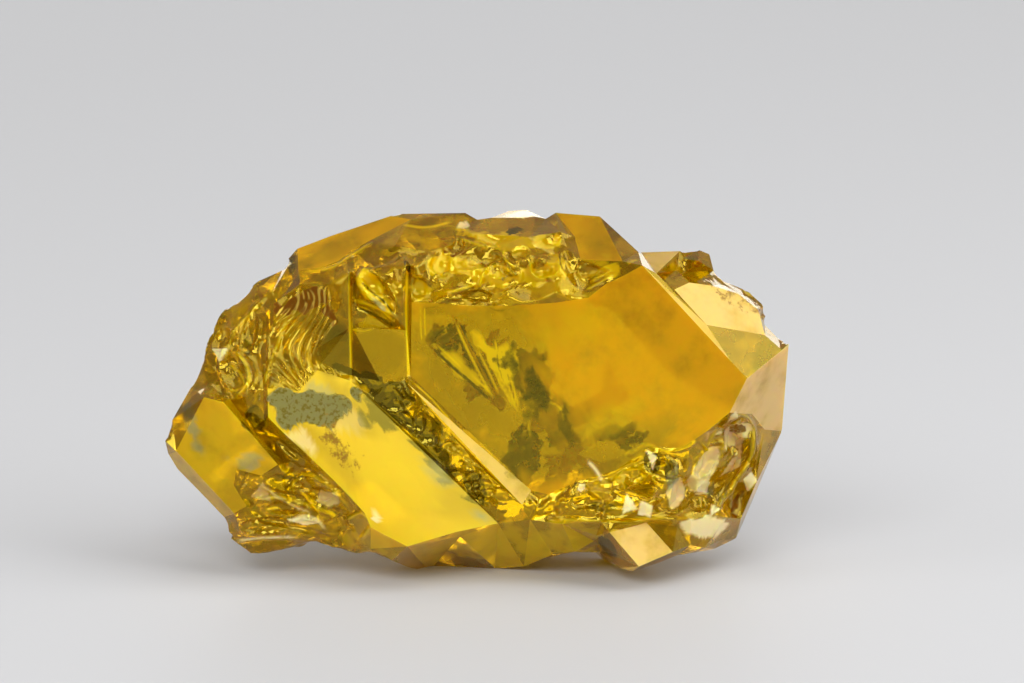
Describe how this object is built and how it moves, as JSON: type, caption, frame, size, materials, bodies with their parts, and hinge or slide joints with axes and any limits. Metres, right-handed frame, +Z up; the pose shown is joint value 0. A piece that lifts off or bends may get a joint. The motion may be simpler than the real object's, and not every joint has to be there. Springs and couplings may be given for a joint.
{
  "type": "native sulfur crystal",
  "caption": "Clear yellow crystal lump with flat stepped faces, a wavy fluted corner and an etched hollow, lying on a small flat area.",
  "frame": {"origin": "centre of the bounding box seen from above, on the ground that the crystal lies on", "axes": "+X along the crystal's width from its pointed left end to its right flank, -Y towards the side with the stepped faces, +Z up"},
  "size_m": [0.042, 0.0188, 0.0239],
  "materials": {
    "sulfur": "clear yellow crystal, glossy on broken areas, softly clouded on flat faces"
  },
  "bodies": {
    "root": {"sulfur_crystal": "sulfur"}
  },
  "joints": []
}
